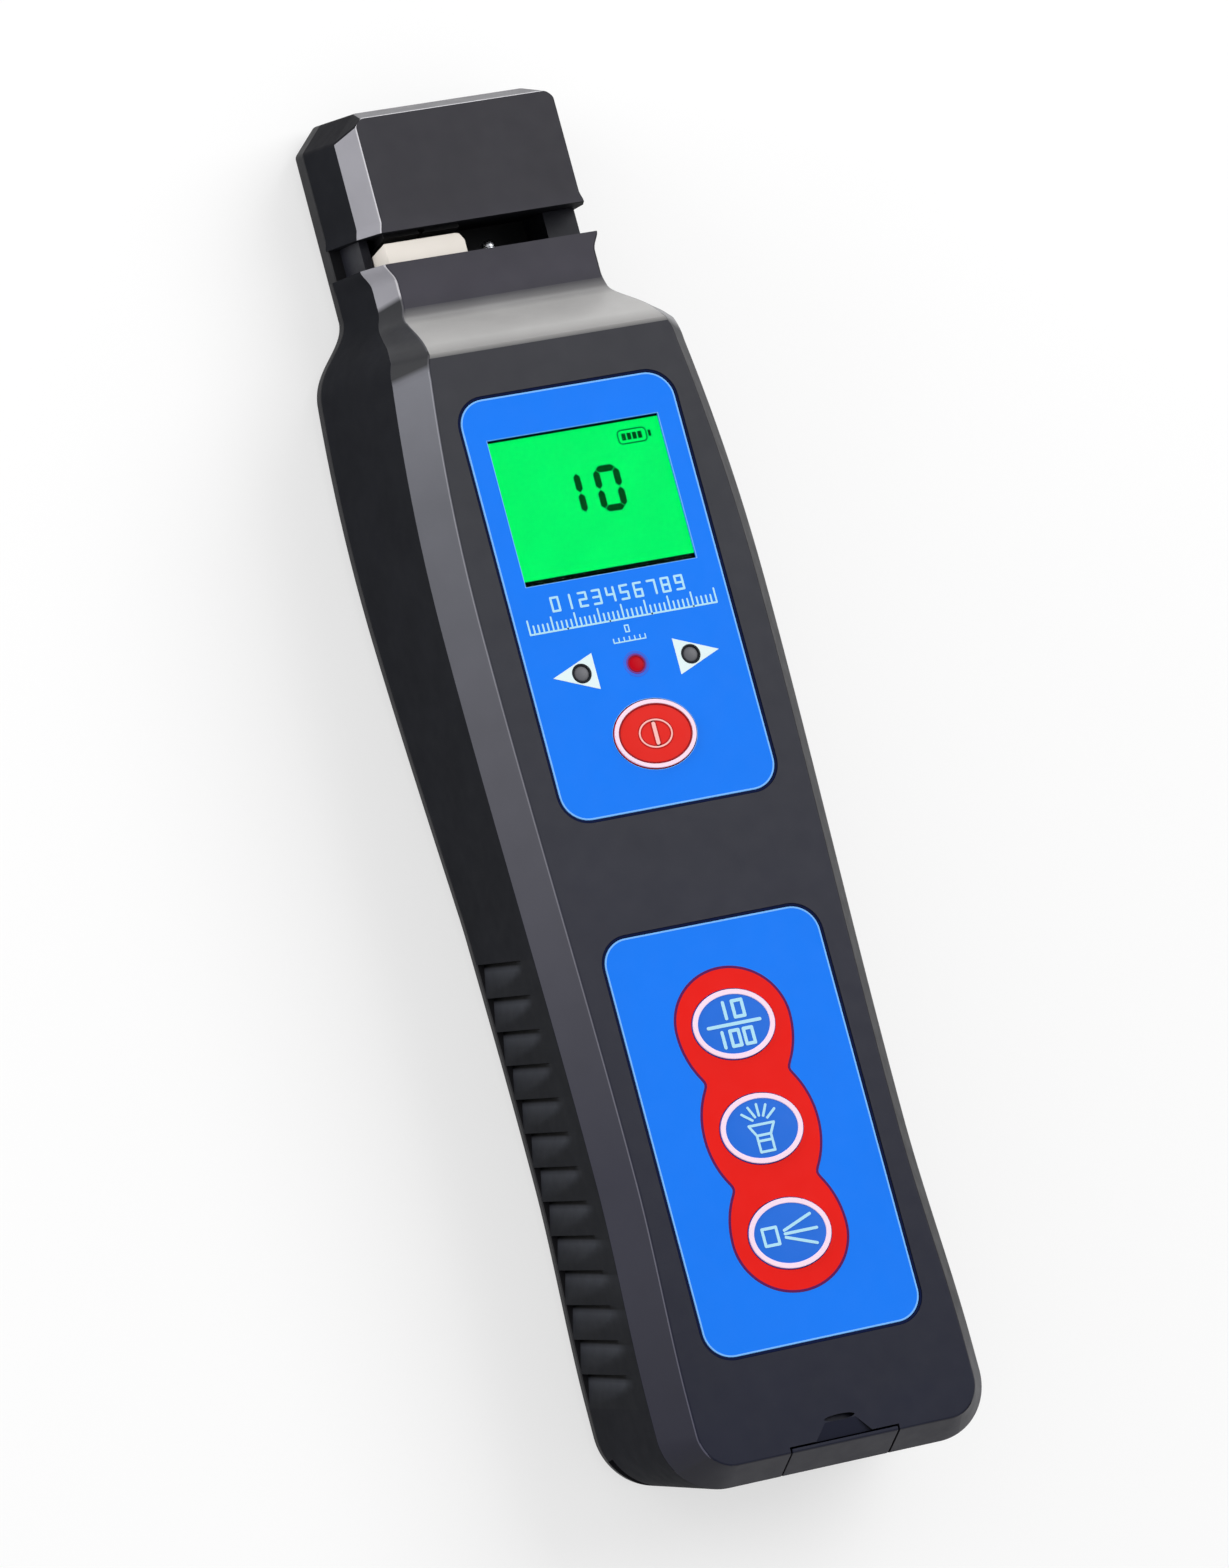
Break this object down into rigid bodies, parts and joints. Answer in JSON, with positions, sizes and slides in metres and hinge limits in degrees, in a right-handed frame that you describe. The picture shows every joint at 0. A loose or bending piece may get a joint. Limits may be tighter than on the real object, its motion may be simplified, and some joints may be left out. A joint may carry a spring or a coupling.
{
  "type": "optical fibre identifier",
  "caption": "Hand-held optical fibre identifier with a spring-pressed fibre slot in its head, a display, keys, a flap over a visible-light port and a torch lamp.",
  "frame": {"origin": "on the resting plane of the case's back, under the middle of the overall box", "axes": "+Z out of the front face, away from the back; +Y along the case from the foot to the head; +X to the right as the front face is read"},
  "size_m": [0.0528, 0.2076, 0.0322],
  "materials": {
    "shell": "fine satin grain",
    "shell_dark": "fine satin grain",
    "black_plastic": "plain moulded",
    "steel": "turned",
    "spring_steel": "drawn wire and strip",
    "brass": "turned",
    "circuit_board": "lacquered board",
    "ribbon": "flat film",
    "panel_film": "printed film, satin",
    "clear_pane": "clear, polished",
    "display": "lit display",
    "lamp_grey": "tinted lamp",
    "lamp_red": "lit lamp",
    "lamp_clear": "clear lamp",
    "key_red": "soft moulded, satin",
    "key_blue": "soft moulded, satin",
    "cream_plastic": "satin",
    "cell_jacket": "printed sleeve",
    "screw_black": "blackened"
  },
  "bodies": {
    "case": {"front_cover": "shell", "rear_cover": "shell_dark", "head_cover": "shell", "jaw_anvil": "black_plastic", "photodiodes": "steel", "detector_board": "circuit_board", "ribbon_cable": "ribbon", "upper_overlay": "panel_film", "lower_overlay": "panel_film", "display_pane": "clear_pane", "display_module": "display", "main_board": "circuit_board", "arrow_lamps": "lamp_grey", "signal_lamp": "lamp_red", "key_switches": "black_plastic", "buzzer": "black_plastic", "control_chip": "black_plastic", "guide_rods": "steel", "laser_module": "brass", "ferrule_sleeve": "steel", "flap_pin": "steel", "torch_lens": "clear_pane", "torch_lamp": "lamp_clear", "battery_cells": "cell_jacket", "battery_springs": "spring_steel", "battery_contacts": "spring_steel", "case_screws": "screw_black", "screw_inserts": "brass", "board_screws": "steel"},
    "power_key_body": {"power_key": "key_red"},
    "level_key_body": {"level_key": "key_blue"},
    "torch_key_body": {"torch_key": "key_blue"},
    "beam_key_body": {"beam_key": "key_blue"},
    "trigger": {"thumb_trigger": "shell_dark", "push_spring": "spring_steel"},
    "presser": {"carriage": "black_plastic", "fibre_adapter": "cream_plastic", "adapter_screw": "steel"},
    "flap": {"port_flap": "shell"},
    "door": {"battery_door": "shell_dark"}
  },
  "joints": [
    {"name": "trigger_slide", "type": "slide", "parent": "case", "child": "trigger", "axis": [0, 1, 0], "range_m": [0, 0.0048], "stiffness_N_per_m": 300, "deforming": ["push_spring"]},
    {"name": "presser_slide", "type": "slide", "parent": "case", "child": "presser", "axis": [0, 1, 0], "range_m": [0, 0.001]},
    {"name": "power_key_press", "type": "slide", "parent": "case", "child": "power_key_body", "axis": [0, 0, -1], "range_m": [0, 0.0004], "stiffness_N_per_m": 300},
    {"name": "level_key_press", "type": "slide", "parent": "case", "child": "level_key_body", "axis": [0, 0, -1], "range_m": [0, 0.0004], "stiffness_N_per_m": 300},
    {"name": "torch_key_press", "type": "slide", "parent": "case", "child": "torch_key_body", "axis": [0, 0, -1], "range_m": [0, 0.0004], "stiffness_N_per_m": 300},
    {"name": "beam_key_press", "type": "slide", "parent": "case", "child": "beam_key_body", "axis": [0, 0, -1], "range_m": [0, 0.0004], "stiffness_N_per_m": 300},
    {"name": "flap_hinge", "type": "hinge", "parent": "case", "child": "flap", "pos_m": [0, -0.09788, 0.0076], "axis": [1, 0, 0], "range_deg": [0, 85]},
    {"name": "door_slide", "type": "slide", "parent": "case", "child": "door", "axis": [0, -1, 0], "range_m": [0, 0.01]}
  ],
  "couplings": [
    {"joint": "presser_slide", "follows": "trigger_slide", "ratio": 0.20833}
  ]
}
